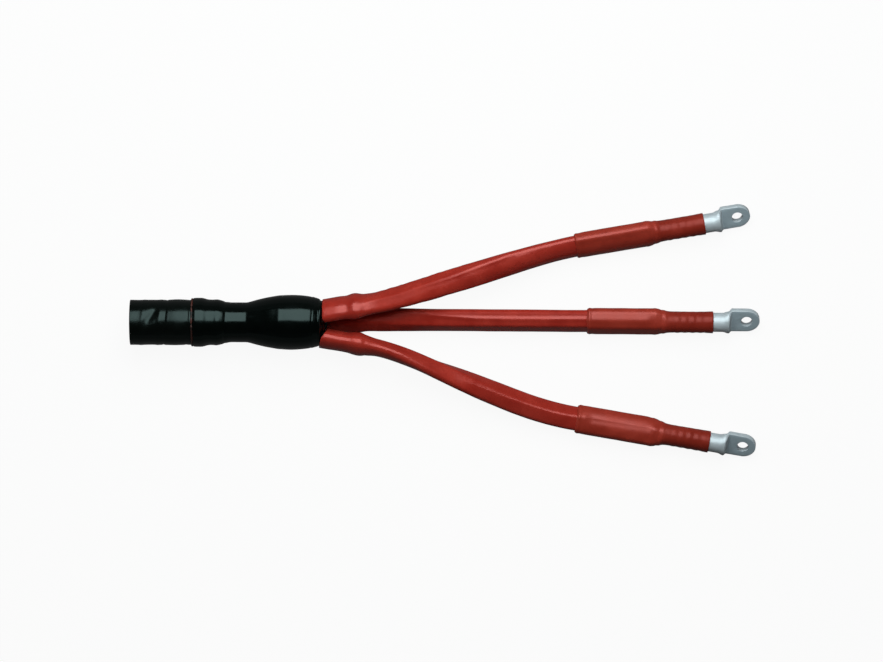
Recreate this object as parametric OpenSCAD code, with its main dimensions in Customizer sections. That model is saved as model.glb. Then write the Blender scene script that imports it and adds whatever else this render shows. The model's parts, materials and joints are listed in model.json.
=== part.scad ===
// Three-core heat-shrink cable termination, lying on its side.
// The cable runs along X. Three sector-shaped cores leave its breakout boot,
// fan out sideways and end in tubular lugs. Lists of three go upper, middle, lower.

/* [Cable] */
// Diameter of the cable over its oversheath
cable_d = 51.8; // [48:0.2:56]
// Wall of the oversheath
oversheath_wall = 2.5; // [1.8:0.1:3.2]
// Thickness of the two lapped steel tapes
armour_wall = 1.2; // [0.8:0.1:1.6]
// Wall of the bedding under the tapes
bedding_wall = 2; // [1.2:0.1:2.4]
// Wall of the metal sheath round the cores
metal_sheath_wall = 1.6; // [1:0.1:2]
// Length of cable that stands out of the boot
cable_stub = 72; // [40:1:160]
// Depth to which the oversheath is dressed down under the boot
dressing = 0.4; // [0.3:0.05:0.8]

/* [Cores] */
// Diameter of the circle round the three laid-up cores
core_circle_d = 33; // [30:0.2:34]
// Corner radius of a core over its insulation
core_corner_r = 4; // [3.4:0.1:4.6]
// Wall of the core insulation
insulation_wall = 2.2; // [1.4:0.1:2.6]
// Gap left between one piece and the next
clearance = 0.1; // [0.05:0.01:0.2]

/* [Breakout boot] */
// Length from the boot's mouth to its crotch
boot_length = 148; // [136:1:180]
// Wall of the boot
boot_wall = 2.6; // [1.8:0.1:3.2]
// Largest diameter of the bulb
bulb_d = 63.2; // [60:0.2:70]
// Distance from the crotch back to the bulb's largest diameter
bulb_back = 34.5; // [28:0.5:40]
// Distance from the crotch back to the end of the waist
waist_back = 88; // [80:1:95]
// Length of oversheath inside the boot
oversheath_cover = 10; // [6:0.5:14]
// Length of armour that shows past the oversheath
armour_step = 18; // [14:0.5:22]
// Thickness of the web at the crotch
web_thickness = 14.5; // [11:0.5:18]
// Height of the dome at the crotch
crotch_dome = 3.5; // [2:0.1:5]
// Gap from the crotch's dome to the start of the red tubes
crotch_gap = 0.5; // [0.3:0.1:2]
// Distance that the tubes' outer edges reach back beside the dome
tube_reach = 2.5; // [0:0.1:3]
// Diameter of the circle through the three fingers
finger_circle_d = 37; // [35:0.2:40]
// Length of a finger past the crotch
finger_length = 43; // [36:0.5:50]
// Wall of a finger
finger_wall = 1.5; // [1:0.1:2]
// Height of the rim round a finger's tip
finger_rim = 0.8; // [0.3:0.1:1.2]
// Length of that rim
rim_length = 8; // [5:0.5:12]
// Width of the sealant bead at the boot's mouth
seal_bead = 2.4; // [1.5:0.1:3.5]
// Turn of the three fingers about the cable's axis
boot_roll = 17; // [10:0.5:24]

/* [Legs] */
// Wall of the red tubes
tube_wall = 2.1; // [1.4:0.1:2.6]
// Sideways angle of each finger
finger_yaw = [8, -2.2, -9.5]; // [-12:0.1:12]
// Sideways angle of each leg between its two bends
leg_yaw = [17.4, -0.4, -22.5]; // [-26:0.1:26]
// Sideways angle of each lug
lug_yaw = [9.5, -0.4, -9.9]; // [-14:0.1:14]
// Distance from each finger's tip to its leg's first bend
knee_past = [29, 29, 33]; // [27:1:40]
// Distance from the crotch to the start of each lug sleeve
sleeve_x = [292, 305, 293]; // [285:1:320]
// Distance from the start of each sleeve back to its leg's second bend
ankle_back = [20, 43, 40]; // [20:1:50]
// Turn of each core's section between the finger and the lug
leg_twist = [85, 18, 85]; // [0:1:100]
// Length over which each core takes that turn
twist_run = [235, 80, 175]; // [60:1:250]

/* [Lug sleeves] */
// Wall of a sleeve over the tube
sleeve_wall = 2.3; // [1.6:0.1:3]
// Wall of a sleeve over the lug barrel
sleeve_neck_wall = 1.2; // [0.8:0.1:1.8]
// Flare of a sleeve's open end
sleeve_flare = 0.4; // [0:0.1:0.8]
// Length of tube under each sleeve
tube_cover = [85, 80, 90]; // [72:1:98]
// Length of the sealant between a tube's end and its lug barrel
neck_gap = 15; // [12:0.5:20]
// Length of a sleeve past the end of its tube
sleeve_past = 65; // [58:1:80]

/* [Lugs] */
// Outer diameter of a lug barrel
barrel_d = 22; // [20:0.2:24]
// Bore of a lug barrel
barrel_bore_d = 14.4; // [13:0.2:15.4]
// Length of a lug barrel
barrel_length = 68; // [60:1:80]
// Depth of the bore
bore_depth = 58; // [50:1:60]
// Width of the palm
palm_w = 28; // [25:0.5:32]
// Radius of the two corners at the palm's tip
palm_corner_r = 13.5; // [6:0.5:13.5]
// Length of the palm past the barrel
palm_length = 36; // [32:0.5:44]
// Distance from the palm's tip to the bolt hole
hole_from_tip = 15; // [13:0.5:17]
// Diameter of the bolt hole
bolt_hole_d = 13; // [10:0.5:14]
// Distance that the palm's back face stands in from the barrel's underside
palm_step = 1.6; // [0.6:0.1:2.5]
// Size across the flats of a hexagonal crimp
crimp_flats = 20.6; // [19:0.1:21.6]
// Turn of the palms about their legs
lug_roll = 33; // [20:1:45]

/* [Hidden] */
$fn = 72;
LEGS = [0, 1, 2];

// Layers of the cable, as radii
cable_r = cable_d / 2;
dressed_r = cable_r - dressing;
seat_r = dressed_r + clearance;
armour_r = cable_r - oversheath_wall;
bedding_r = armour_r - armour_wall;
sheath_r = bedding_r - bedding_wall;
belt_r = sheath_r - metal_sheath_wall;
core_circle_r = core_circle_d / 2;

// Stations along the cable, with the crotch at zero
mouth_x = -boot_length;
cut_x = mouth_x - cable_stub;
bead_end = mouth_x - seal_bead - clearance;
oversheath_end = mouth_x + oversheath_cover;
armour_end = oversheath_end + armour_step;
// The boot tapers off each cut edge over these lengths
oversheath_taper = 9;
armour_taper = 14;
// The metal sheath and the belt end one after the other in the bulb
strip_step = 5;
metal_sheath_end = -waist_back + strip_step;
belt_end = metal_sheath_end + strip_step;
axis_z = bulb_d / 2;

// Section of one core: a rounded third of the core circle, outward side along +X
sector_half = 60;
corner_path_r = core_circle_r - core_corner_r;
wall_gap = core_corner_r + clearance;
corner_angle = sector_half - asin(wall_gap / corner_path_r);
apex_x = wall_gap / sin(sector_half);
core_mid = (apex_x - core_corner_r + core_circle_r) / 2;
ring_points = 18;
ring_step = 360 / ring_points;

// The cores spread apart from the belt's end to the roots of the fingers
cavity_end = crotch_dome - web_thickness;
spread_half = 12;
spread_from = belt_end + spread_half;
spread_back = 4;
spread_to = cavity_end - spread_back;
// Middle and half length of each leg's two bends
knee_half = 26;
ankle_half = 40;
function knee_x(i) = finger_length + knee_past[i];
function ankle_x(i) = sleeve_x[i] - ankle_back[i];

// Radial offsets of the layers on a core, from the insulation's surface
finger_in = clearance;
finger_out = finger_in + finger_wall;
tube_in = clearance;
tube_out = tube_in + tube_wall;

// Lug sizes that follow from the barrel
barrel_r = barrel_d / 2;
palm_t = barrel_d - barrel_bore_d;
palm_back = barrel_r - palm_step;
palm_ramp = 7;
insulation_past = 5;
conductor_r = barrel_bore_d / 2 - 3 * clearance;
crimp_length = 13;
crimp_from = [8, 28];

// The legs come down until the palms touch the ground
leg_end_z = palm_back * cos(lug_roll) + palm_w / 2 * sin(lug_roll);

function clamp01(t) = max(0, min(1, t));
function ease(t) = let (u = clamp01(t)) u * u * (3 - 2 * u);
function mix(a, b, t) = a + (b - a) * t;
function direction(angle) = [cos(angle), sin(angle)];
function turned(p, angle) =
    [p.x * cos(angle) - p.y * sin(angle), p.x * sin(angle) + p.y * cos(angle)];

// Sideways and upward travel of a route that changes slope by one at a soft bend
function bend_slope(x, at, half) = clamp01((x - at + half) / (2 * half));
function bend_travel(x, at, half) =
    x >= at + half ? x - at : pow(max(0, x - at + half), 2) / (4 * half);

// Each core lies at its own angle round the cable, seen from the lugs
function core_angle(i) = boot_roll - 90 + 120 * (1 - i);
function cable_place(i) = core_mid * direction(core_angle(i));
function finger_place(i) = finger_circle_d / 2 * direction(core_angle(i));
function finger_slope(i) = [tan(finger_yaw[i]), 0];
function spread_slope(i) =
    (finger_place(i) + spread_to * finger_slope(i) - cable_place(i)) / (spread_to - spread_from);
function leg_slope(i) = [
    tan(leg_yaw[i]),
    (leg_end_z - axis_z - finger_place(i).y) / (ankle_x(i) - knee_x(i))
];
function lug_slope(i) = [tan(lug_yaw[i]), 0];
// Every bend of a leg: where it is, half its length, and the change of slope
function bends(i) = [
    [spread_from, spread_half, spread_slope(i)],
    [spread_to, spread_half, finger_slope(i) - spread_slope(i)],
    [knee_x(i), knee_half, leg_slope(i) - finger_slope(i)],
    [ankle_x(i), ankle_half, lug_slope(i) - leg_slope(i)]
];
function total(list, k = 0) = k == len(list) - 1 ? list[k] : list[k] + total(list, k + 1);
function route(i, x) =
    let (off = cable_place(i) + total([for (b = bends(i)) b[2] * bend_travel(x, b[0], b[1])]))
    [x, off.x, off.y + axis_z];
function heading(i, x) =
    let (slope = total([for (b = bends(i)) b[2] * bend_slope(x, b[0], b[1])]),
         along = [1, slope.x, slope.y])
    along / norm(along);
function twist(i, x) = leg_twist[i] * ease((x - finger_length) / twist_run[i]);
// Station at a length along the straight end of a leg, past the end of its tube
function end_x(i, length) = sleeve_x[i] + (tube_cover[i] + length) * cos(lug_yaw[i]);

// Point of the core's section whose outward normal has the given angle.
// Form 1 is the sector and form 0 is round. Radius is that of its corners.
function corner_centre(angle) =
    let (a = angle > 180 ? angle - 360 : angle, side = a < 0 ? -1 : 1)
    abs(a) < corner_angle ? corner_path_r * direction(a)
    : abs(a) < 90 + sector_half ? corner_path_r * direction(side * corner_angle)
    : [apex_x, 0];
function section_point(angle, form, radius) =
    form * (corner_centre(angle) - [core_mid, 0]) + radius * direction(angle);
function ring(i, x, form, radius) =
    let (along = heading(i, x),
         flat = norm([along.x, along.y]),
         side = [-along.y, along.x, 0] / flat,
         up = cross(along, side),
         centre = route(i, x),
         angle = core_angle(i) + twist(i, x))
    [for (k = [0 : ring_points - 1])
        let (p = turned(section_point(k * ring_step, form, radius), angle))
        centre + p.x * side + p.y * up];
// Rings at one offset from the insulation's surface
function core_rings(i, stations, offset) =
    [for (x = stations) ring(i, x, 1, core_corner_r + offset)];

// Form and radius of what the lug sleeve is shrunk on, from the tube to the barrel.
// The ring's flats, and not its corners, lie on the barrel.
barrel_ring_r = barrel_r / cos(ring_step / 2);
neck_lengths = [for (t = [0 : 0.25 : 1]) t * neck_gap];
function neck_share(length) = ease(length / neck_gap);
function neck_ring(i, length, offset) =
    let (t = neck_share(length))
    ring(i, end_x(i, length), 1 - t, mix(core_corner_r + tube_out, barrel_ring_r, t) + offset);

// Stations shared by the layers of a leg, so that nested skins keep their gap
finger_step = 7;
leg_pitch = 26;
ankle_pitch = ankle_half / 2;
function leg_stations(i) = concat(
    [finger_length + finger_step, finger_length + 2.5 * finger_step],
    [for (x = [knee_x(i) : leg_pitch : ankle_x(i) - ankle_half]) x],
    [for (x = [ankle_x(i) - ankle_pitch : ankle_pitch : ankle_x(i) + ankle_half]) x],
    [end_x(i, 0)]
);
spread_stations = [spread_from - spread_half, spread_from, spread_from + spread_half,
    spread_to - spread_half, spread_to, spread_to + spread_half];
core_stations = concat([cut_x], spread_stations, [finger_length]);
// The conductors take every second station
function conductor_stations(i) =
    let (all = concat(core_stations, leg_stations(i)))
    concat([for (k = [0 : 2 : len(all) - 1]) all[k]], [end_x(i, insulation_past)]);

// Closed skin over rings of equal count: a loop when hollow, capped when solid
module skin(rings, hollow) {
    m = ring_points;
    n = len(rings);
    sides = [for (i = [0 : hollow ? n - 1 : n - 2], j = [0 : m - 1], half = [0, 1])
        let (a = i * m + j,
             b = i * m + (j + 1) % m,
             c = (i + 1) % n * m + (j + 1) % m,
             d = (i + 1) % n * m + j)
        half == 0 ? [a, c, b] : [a, d, c]];
    caps = hollow ? [] : [
        [for (j = [0 : m - 1]) j],
        [for (j = [m - 1 : -1 : 0]) (n - 1) * m + j]
    ];
    polyhedron(points = [for (r = rings) each r], faces = concat(sides, caps));
}

function reversed(list) = [for (k = [len(list) - 1 : -1 : 0]) list[k]];
module hollow_skin(outer, inner) { skin(concat(outer, reversed(inner)), true); }
module solid_skin(rings) { skin(rings, false); }

// The origin lies on the ground under the middle of the whole termination
tip_length = neck_gap + barrel_length + palm_length;
hole_length = tip_length - hole_from_tip;
tip_reach = max([for (i = LEGS) end_x(i, tip_length)]);
upper_side = route(0, end_x(0, hole_length)).y;
lower_side = route(2, end_x(2, hole_length)).y;
palm_lean = (palm_back - palm_t / 2) * sin(lug_roll);
datum = [(cut_x + tip_reach) / 2, (upper_side + lower_side) / 2 + palm_lean, 0];
module on_ground() { translate(-datum) children(); }

// Turns a profile of [station, radius] points round the cable's axis
module turned_on_cable(profile) {
    on_ground() translate([0, 0, axis_z]) rotate([0, 90, 0])
        rotate_extrude() polygon([for (p = profile) [p.y, p.x]]);
}
module cable_layer(outer_r, inner_r, end) {
    turned_on_cable([[cut_x, inner_r], [end, inner_r], [end, outer_r], [cut_x, outer_r]]);
}

// Cable
module cable_oversheath() {
    color("#1c1d1f") turned_on_cable([
        [cut_x, armour_r], [oversheath_end, armour_r], [oversheath_end, dressed_r],
        [bead_end, dressed_r], [bead_end, cable_r], [cut_x, cable_r]
    ]);
}
module steel_tape_armour() {
    color("#8d9094") cable_layer(armour_r, bedding_r, armour_end);
}
module armour_bedding() {
    color("#4a3d30") cable_layer(bedding_r, sheath_r, armour_end);
}
module metal_sheath() {
    color("#b4b8bc") cable_layer(sheath_r, belt_r, metal_sheath_end);
}
module belt_filler() {
    color("#b89b6a") on_ground() translate([cut_x, 0, axis_z]) rotate([90, 0, 90])
        linear_extrude(belt_end - cut_x) difference() {
            circle(belt_r);
            for (i = LEGS)
                translate(cable_place(i)) rotate(core_angle(i))
                    polygon([for (k = [0 : ring_points - 1])
                        section_point(k * ring_step, 1, core_corner_r + clearance)]);
        }
}

// Cores
module conductor(i) {
    tail = [neck_gap, neck_gap + bore_depth - 4 * clearance];
    color("#c4c7ca") on_ground() solid_skin(concat(
        core_rings(i, conductor_stations(i), -insulation_wall),
        [for (length = tail) ring(i, end_x(i, length), 0, conductor_r)]
    ));
}
module insulation(i) {
    stations = concat(core_stations, leg_stations(i), [end_x(i, insulation_past)]);
    color("#d9cfb4") on_ground() hollow_skin(
        core_rings(i, stations, 0),
        core_rings(i, conductor_stations(i), clearance - insulation_wall)
    );
}

// Breakout boot
lip_r = seat_r + boot_wall;
shoulder_r = armour_r + clearance + boot_wall;
waist_r = sheath_r + clearance + boot_wall;
bulb_r = bulb_d / 2;
tail_curve = 0.0042;
dome_back = 4.6;
mouth_round = 0.8;
function skirt_r(x) =
    lip_r + (shoulder_r - lip_r) * ease((x - oversheath_end) / oversheath_taper)
    + (waist_r - shoulder_r) * ease((x - armour_end) / armour_taper);
function swell_r(t) = waist_r + (bulb_r - waist_r) * sin(90 * t);
function tail_r(x) = bulb_r - tail_curve * pow(x + bulb_back, 2);
function dome_r(t) = tail_r(-dome_back) * cos(90 * t);
skirt_profile = [
    for (x = [oversheath_end : oversheath_taper / 4 : oversheath_end + oversheath_taper])
        [x, skirt_r(x)],
    for (x = [armour_end : armour_taper / 5 : armour_end + armour_taper]) [x, skirt_r(x)]
];
swell_profile = [for (t = [0 : 0.125 : 1]) [mix(-waist_back, -bulb_back, t), swell_r(t)]];
tail_profile = [for (t = [0.2 : 0.2 : 1]) let (x = mix(-bulb_back, -dome_back, t)) [x, tail_r(x)]];
dome_profile = [for (t = [0.2 : 0.2 : 1])
    [mix(-dome_back, crotch_dome, sin(90 * t)), t == 1 ? 0 : dome_r(t)]];
cavity_round = 9;
function thinner(profile) = [for (p = profile) [p.x, p.y - boot_wall]];
cavity_tail = [for (t = [0.2 : 0.2 : 1])
    let (x = mix(-bulb_back, cavity_end - cavity_round, t)) [x, tail_r(x) - boot_wall]];
cavity_dome = [for (t = [0.2 : 0.2 : 1])
    [cavity_end - cavity_round * (1 - sin(90 * t)),
     t == 1 ? 0 : (tail_r(cavity_end - cavity_round) - boot_wall) * cos(90 * t)]];
boot_profile = concat(
    [[mouth_x, lip_r - boot_wall], [mouth_x, lip_r - mouth_round], [mouth_x + mouth_round, lip_r]],
    skirt_profile, swell_profile, tail_profile, dome_profile,
    reversed(cavity_dome), reversed(cavity_tail),
    reversed(thinner(swell_profile)), reversed(thinner(skirt_profile))
);
finger_sink = 5;
finger_straight = spread_to + spread_half;
finger_root = finger_straight - finger_sink;
rim_from = finger_length - rim_length;
rim_ramp = rim_length / 2;
rim_round = 1;
module finger_body(i) {
    solid_skin(concat(
        core_rings(i, [finger_root, finger_straight, rim_from - rim_ramp], finger_out),
        core_rings(i, [rim_from, finger_length - rim_round], finger_out + finger_rim),
        core_rings(i, [finger_length], finger_out)
    ));
}
module finger_bore(i) {
    past = finger_step;
    solid_skin(core_rings(i, [spread_to - spread_half, spread_to, spread_to + spread_half,
        finger_length, finger_length + past], finger_in));
}
module breakout_boot() {
    color("#121414") difference() {
        union() {
            turned_on_cable(boot_profile);
            on_ground() for (i = LEGS) finger_body(i);
        }
        on_ground() for (i = LEGS) finger_bore(i);
    }
}
module boot_seal_bead() {
    color("#7c3b30") on_ground() translate([mouth_x, 0, axis_z]) rotate([0, -90, 0])
        rotate_extrude() translate([seat_r, 0]) intersection() {
            circle(seal_bead);
            square(seal_bead);
        }
}
mastic_fit = 2 * clearance;
module crotch_mastic() {
    from = belt_end + mastic_fit;
    end = cavity_end - cavity_round - 2 * mastic_fit;
    apart = 1;
    swell = [for (p = swell_profile) if (p.x > from + apart) [p.x, p.y - boot_wall - mastic_fit]];
    tail = [for (p = cavity_tail) if (p.x < end - apart) [p.x, p.y - mastic_fit]];
    start_r = lookup(from, swell_profile) - boot_wall - mastic_fit;
    profile = concat([[from, 0], [from, start_r]], swell, tail,
        [[end, tail_r(end) - boot_wall - mastic_fit], [end, 0]]);
    color("#c9a227") difference() {
        turned_on_cable(profile);
        on_ground() for (i = LEGS)
            solid_skin(core_rings(i, spread_stations, clearance));
    }
}

// Red tubes over the fingers and the cores.
// Each tube's first edge follows the dome of the boot.
dome_r0 = dome_r(0);
function dome_x(r) =
    mix(-dome_back, crotch_dome, sqrt(max(0, 1 - pow(r / dome_r0, 2))));
function seated(i, p) =
    let (along = heading(i, 0), r = norm([p.y, p.z - axis_z]))
    p + along * ((max(dome_x(r), -tube_reach) + crotch_gap - p.x) / along.x);
module tube(i) {
    over_finger = finger_out + clearance;
    over_rim = over_finger + finger_rim;
    function skins(offset) = concat(
        [[for (p = core_rings(i, [0], over_finger + offset)[0]) seated(i, p)]],
        core_rings(i, [rim_from - rim_ramp], over_finger + offset),
        core_rings(i, [rim_from, finger_length], over_rim + offset),
        core_rings(i, leg_stations(i), tube_in + offset)
    );
    color("#9a3a31") on_ground() hollow_skin(skins(tube_wall), skins(0));
}

// Lug ends
module lug_sealant(i) {
    ends = [2 * clearance, neck_gap - 2 * clearance];
    middle_lengths = [for (k = [1 : len(neck_lengths) - 2]) neck_lengths[k]];
    step = insulation_past + 2 * clearance;
    over = clearance;
    function conductor_share(length) =
        clamp01((length - insulation_past) / (neck_gap - insulation_past));
    function bare_ring(length) =
        let (t = conductor_share(length))
        ring(i, end_x(i, length), 1 - t,
            mix(core_corner_r - insulation_wall, conductor_r, t) + over);
    color("#8a8f86") on_ground() hollow_skin(
        [for (length = concat([ends[0]], middle_lengths, [ends[1]])) neck_ring(i, length, 0)],
        concat(
            core_rings(i, [end_x(i, ends[0]), end_x(i, step)], over),
            [bare_ring(step), bare_ring(ends[1])]
        )
    );
}
module lug_sleeve(i) {
    edge = 0.4;
    edge_run = 3;
    flare_run = 12;
    flare_from = sleeve_past - flare_run;
    start = -tube_cover[i];
    settled = start + max(2 * edge_run, (ankle_half - ankle_back[i]) / cos(lug_yaw[i]));
    function wall(length) = mix(sleeve_wall, sleeve_neck_wall, neck_share(length));
    outer = concat(
        [neck_ring(i, start, clearance + edge * sleeve_wall)],
        [for (length = [start + edge_run, settled])
            neck_ring(i, length, clearance + sleeve_wall)],
        [for (length = neck_lengths) neck_ring(i, length, clearance + wall(length))],
        [neck_ring(i, flare_from, clearance + sleeve_neck_wall),
         neck_ring(i, sleeve_past, clearance + sleeve_neck_wall + sleeve_flare)]
    );
    inner = [for (length = concat([start, settled], neck_lengths, [sleeve_past]))
        neck_ring(i, length, clearance)];
    color("#8c3026") on_ground() hollow_skin(outer, inner);
}

// Lug, with its barrel's open end at the origin and its bolt axis along Z.
// Cutting bodies run past what they cut by the overrun.
overrun = 1;
module crimp_flat() {
    hex_d = crimp_flats / cos(30);
    difference() {
        cylinder(h = crimp_length, r = barrel_r + overrun);
        translate([0, 0, -overrun]) cylinder(h = crimp_length + 2 * overrun, d = hex_d, $fn = 6);
    }
}
module palm_outline() {
    side_length = palm_length - palm_corner_r;
    corner_y = palm_w / 2 - palm_corner_r;
    translate([0, -palm_w / 2]) square([side_length, palm_w]);
    translate([side_length, -corner_y]) square([palm_corner_r, 2 * corner_y]);
    for (side = [-1, 1]) translate([side_length, side * corner_y]) circle(palm_corner_r);
}
module lug_blank() {
    inset = 0.3;
    joint = 0.5;
    rotate([0, 90, 0]) cylinder(h = barrel_length, r = barrel_r);
    translate([barrel_length, 0, 0]) intersection() {
        translate([0, 0, -palm_back]) linear_extrude(palm_t) palm_outline();
        translate([palm_ramp, -palm_w, -palm_back - overrun])
            cube([palm_length, 2 * palm_w, palm_t + 2 * overrun]);
    }
    hull() {
        translate([barrel_length - joint, 0, 0]) rotate([0, 90, 0])
            cylinder(h = joint, r = barrel_r - inset, $fn = 32);
        translate([barrel_length + palm_ramp, -palm_w / 2, -palm_back])
            cube([joint, palm_w, palm_t]);
    }
}
module lug(i) {
    color("#c3cbcf") on_ground()
        translate(route(i, end_x(i, neck_gap))) rotate([0, 0, lug_yaw[i]]) rotate([lug_roll, 0, 0])
            difference() {
                lug_blank();
                translate([-overrun, 0, 0]) rotate([0, 90, 0])
                    cylinder(h = bore_depth + overrun, d = barrel_bore_d);
                translate([hole_length - neck_gap, 0, -barrel_d])
                    cylinder(h = 2 * barrel_d, d = bolt_hole_d);
                for (from = crimp_from)
                    translate([from, 0, 0]) rotate([0, 90, 0]) crimp_flat();
            }
}

cable_oversheath();
steel_tape_armour();
armour_bedding();
metal_sheath();
belt_filler();
conductor(0);  // upper_conductor
conductor(1);  // middle_conductor
conductor(2);  // lower_conductor
insulation(0);  // upper_insulation
insulation(1);  // middle_insulation
insulation(2);  // lower_insulation
breakout_boot();
boot_seal_bead();
crotch_mastic();
tube(0);  // upper_tube
tube(1);  // middle_tube
tube(2);  // lower_tube
lug_sealant(0);  // upper_lug_sealant
lug_sealant(1);  // middle_lug_sealant
lug_sealant(2);  // lower_lug_sealant
lug_sleeve(0);  // upper_lug_sleeve
lug_sleeve(1);  // middle_lug_sleeve
lug_sleeve(2);  // lower_lug_sleeve
lug(0);  // upper_lug
lug(1);  // middle_lug
lug(2);  // lower_lug
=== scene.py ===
# Three-core heat-shrink cable termination, seen from above as it lies on a pale studio floor.
# The file follows the termination as it is made up: the stripped cable from its conductors
# outwards, the breakout boot, the red tubes, the lugs, their sleeves, and then the studio.
import json
import math

import bpy
import numpy as np
from mathutils import Matrix, Vector, noise


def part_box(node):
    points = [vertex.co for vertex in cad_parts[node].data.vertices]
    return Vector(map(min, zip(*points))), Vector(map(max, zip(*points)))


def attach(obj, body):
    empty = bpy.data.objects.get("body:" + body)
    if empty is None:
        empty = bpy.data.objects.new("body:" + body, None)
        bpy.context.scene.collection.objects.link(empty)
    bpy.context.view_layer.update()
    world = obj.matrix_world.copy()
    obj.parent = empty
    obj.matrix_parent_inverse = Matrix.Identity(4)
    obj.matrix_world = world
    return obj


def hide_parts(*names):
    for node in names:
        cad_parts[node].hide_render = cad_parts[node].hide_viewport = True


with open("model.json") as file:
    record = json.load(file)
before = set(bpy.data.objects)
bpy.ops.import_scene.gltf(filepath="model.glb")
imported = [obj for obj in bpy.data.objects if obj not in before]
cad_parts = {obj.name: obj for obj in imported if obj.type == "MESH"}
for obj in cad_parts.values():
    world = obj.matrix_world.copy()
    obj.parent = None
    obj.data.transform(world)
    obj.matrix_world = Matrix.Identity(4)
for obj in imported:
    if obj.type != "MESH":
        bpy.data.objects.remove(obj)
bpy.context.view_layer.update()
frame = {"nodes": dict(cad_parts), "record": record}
bpy.ops.object.select_all(action="DESELECT")


# Conductors
# Each core carries a sector of compacted aluminium strands. They are bare only where the cable
# is sawn through, so that cut face is bright metal with the strands' outlines pressed together.
MM = 0.001
LEGS = ("upper", "middle", "lower")
STRAND_D = 2.6


def linear(hex_colour):
    """Linear RGBA of an sRGB hex colour."""
    channels = [int(hex_colour[i:i + 2], 16) / 255 for i in (1, 3, 5)]
    return [c / 12.92 if c <= 0.04045 else ((c + 0.055) / 1.055) ** 2.4 for c in channels] + [1.0]


def per_mm(size):
    """Texture scale at which a pattern on Object coordinates repeats about every size mm."""
    return 1 / (size * MM)


def set_inputs(node, inputs):
    """Gives each named input of a node a value, or a link from another node's output."""
    for key, value in inputs.items():
        if isinstance(value, bpy.types.NodeSocket):
            node.id_data.links.new(value, node.inputs[key])
        else:
            node.inputs[key].default_value = value


def add_node(tree, kind, inputs=None, **settings):
    """Adds a node, sets its properties and then its inputs."""
    made = tree.nodes.new(kind)
    for name, value in settings.items():
        setattr(made, name, value)
    set_inputs(made, inputs or {})
    return made


def new_material(name, **sockets):
    """A material with its Principled shader's constant sockets set, its tree and Object coordinates."""
    material = bpy.data.materials.new(name)
    material.use_nodes = True
    tree = material.node_tree
    shader = tree.nodes["Principled BSDF"]
    set_inputs(shader, {key.replace("_", " "): value for key, value in sockets.items()})
    place = add_node(tree, "ShaderNodeTexCoord").outputs["Object"]
    return material, tree, shader, place


def dress(node, material):
    """Gives a CAD node its finish."""
    mesh = frame["nodes"][node].data
    mesh.materials.clear()
    mesh.materials.append(material)


# Sawn aluminium: bright and a little dull from the blade, with a seam round each strand.
strand_metal, tree, shader, place = new_material("sawn_stranded_aluminium", Metallic=1.0)
strands = add_node(tree, "ShaderNodeTexVoronoi", {"Vector": place, "Scale": per_mm(STRAND_D)},
                   feature="DISTANCE_TO_EDGE")
seam = add_node(tree, "ShaderNodeMapRange", {"Value": strands.outputs["Distance"], "From Max": 0.12})
tint = add_node(tree, "ShaderNodeMix", {"Factor": seam.outputs[0], "A": linear("#6d7074"),
                                        "B": linear("#c9ccd0")}, data_type="RGBA")
saw = add_node(tree, "ShaderNodeTexNoise", {"Vector": place, "Scale": per_mm(0.8), "Detail": 4.0})
rough = add_node(tree, "ShaderNodeMapRange", {"Value": saw.outputs[0], "To Min": 0.3, "To Max": 0.52})
bump = add_node(tree, "ShaderNodeBump", {"Strength": 0.5, "Distance": 0.3 * MM,
                                         "Height": seam.outputs[0]})
set_inputs(shader, {"Base Color": tint.outputs["Result"], "Roughness": rough.outputs[0],
                    "Normal": bump.outputs[0]})
for leg in LEGS:
    dress(leg + "_conductor", strand_metal)


# Core insulation
# A cream extruded polymer wall round each conductor. It shows as a rounded sector at the cut
# end and is covered everywhere else.
# Extruded polymer: a soft cream with faint clouds, scratched matt by the saw.
insulation, tree, shader, place = new_material("cream_core_insulation", Roughness=0.48, IOR=1.5)
cloud = add_node(tree, "ShaderNodeTexNoise", {"Vector": place, "Scale": per_mm(5), "Detail": 3.0})
tint = add_node(tree, "ShaderNodeMix", {"Factor": cloud.outputs[0], "A": linear("#cdbf9b"),
                                        "B": linear("#e0d6bb")}, data_type="RGBA")
saw = add_node(tree, "ShaderNodeTexNoise", {"Vector": place, "Scale": per_mm(0.7), "Detail": 2.0})
bump = add_node(tree, "ShaderNodeBump", {"Strength": 0.25, "Distance": 0.2 * MM,
                                         "Height": saw.outputs[0]})
set_inputs(shader, {"Base Color": tint.outputs["Result"], "Normal": bump.outputs[0]})
for leg in LEGS:
    dress(leg + "_insulation", insulation)


# Belt and fillers
# Impregnated paper tapes and filler strings that make the three sectors up to a round bundle.
# Sawn across, they show as a brown felted mass with fine laps.
# Impregnated paper: matt and fibrous, in browns that change from tape to tape.
belt, tree, shader, place = new_material("impregnated_paper_belt", Roughness=0.78, IOR=1.45)
fibre = add_node(tree, "ShaderNodeTexNoise", {"Vector": place, "Scale": per_mm(1.3), "Detail": 6.0})
tint = add_node(tree, "ShaderNodeMix", {"Factor": fibre.outputs[0], "A": linear("#86683c"),
                                        "B": linear("#c2a06a")}, data_type="RGBA")
bump = add_node(tree, "ShaderNodeBump", {"Strength": 0.7, "Distance": 0.4 * MM,
                                         "Height": fibre.outputs[0]})
set_inputs(shader, {"Base Color": tint.outputs["Result"], "Normal": bump.outputs[0]})
dress("belt_filler", belt)


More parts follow.
